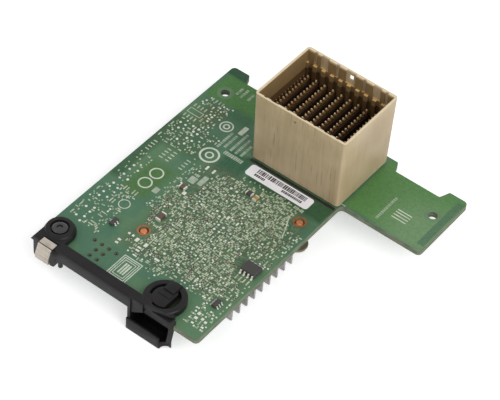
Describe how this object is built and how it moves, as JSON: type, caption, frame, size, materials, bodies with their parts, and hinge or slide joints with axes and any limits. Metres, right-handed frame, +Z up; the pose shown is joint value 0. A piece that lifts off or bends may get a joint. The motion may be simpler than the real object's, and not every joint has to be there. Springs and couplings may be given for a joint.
{
  "type": "mezzanine network card",
  "caption": "L-shaped circuit board with a tall open plug-in connector, a finned heat sink underneath and a moulded bracket with a hook along one edge.",
  "frame": {"origin": "middle of the card's outline, on the surface that the heat sink's fins and the hook stand on", "axes": "+Z up through the board towards the connector's mouth, +X across the board towards its side tab, +Y from the bracket to the connector"},
  "size_m": [0.0838, 0.0922, 0.0362],
  "materials": {
    "board_laminate": "satin solder mask",
    "beige_moulding": "satin",
    "dark_insulator": "matte",
    "contact_plating": "plated",
    "aluminium_fins": "satin",
    "pin_metal": "satin",
    "spring_steel": "satin",
    "black_moulding": "satin",
    "black_screw": "black oxide",
    "chip_epoxy": "matte",
    "package_laminate": "satin",
    "thermal_pad_grey": "matte"
  },
  "bodies": {
    "root": {"bracket": "black_moulding", "bracket_screw": "black_screw", "bulk_capacitor_1": "chip_epoxy", "bulk_capacitor_2": "chip_epoxy", "bulk_capacitor_3": "chip_epoxy", "circuit_board": "board_laminate", "connector_shroud": "beige_moulding", "contact_row_01": "contact_plating", "contact_row_02": "contact_plating", "contact_row_03": "contact_plating", "contact_row_04": "contact_plating", "contact_row_05": "contact_plating", "contact_row_06": "contact_plating", "contact_row_07": "contact_plating", "contact_row_08": "contact_plating", "contact_row_09": "contact_plating", "contact_row_10": "contact_plating", "controller_chip": "package_laminate", "crystal_can": "spring_steel", "driver_chip": "chip_epoxy", "flash_chip": "chip_epoxy", "heat_sink": "aluminium_fins", "heat_sink_pin_1": "pin_metal", "heat_sink_pin_2": "pin_metal", "pin_spring_1": "spring_steel", "pin_spring_2": "spring_steel", "power_inductor_1": "chip_epoxy", "power_inductor_2": "chip_epoxy", "power_inductor_3": "chip_epoxy", "spring_clip": "spring_steel", "thermal_pad": "thermal_pad_grey", "wafer_01": "dark_insulator", "wafer_02": "dark_insulator", "wafer_03": "dark_insulator", "wafer_04": "dark_insulator", "wafer_05": "dark_insulator", "wafer_06": "dark_insulator", "wafer_07": "dark_insulator", "wafer_08": "dark_insulator", "wafer_09": "dark_insulator", "wafer_10": "dark_insulator"}
  },
  "joints": []
}
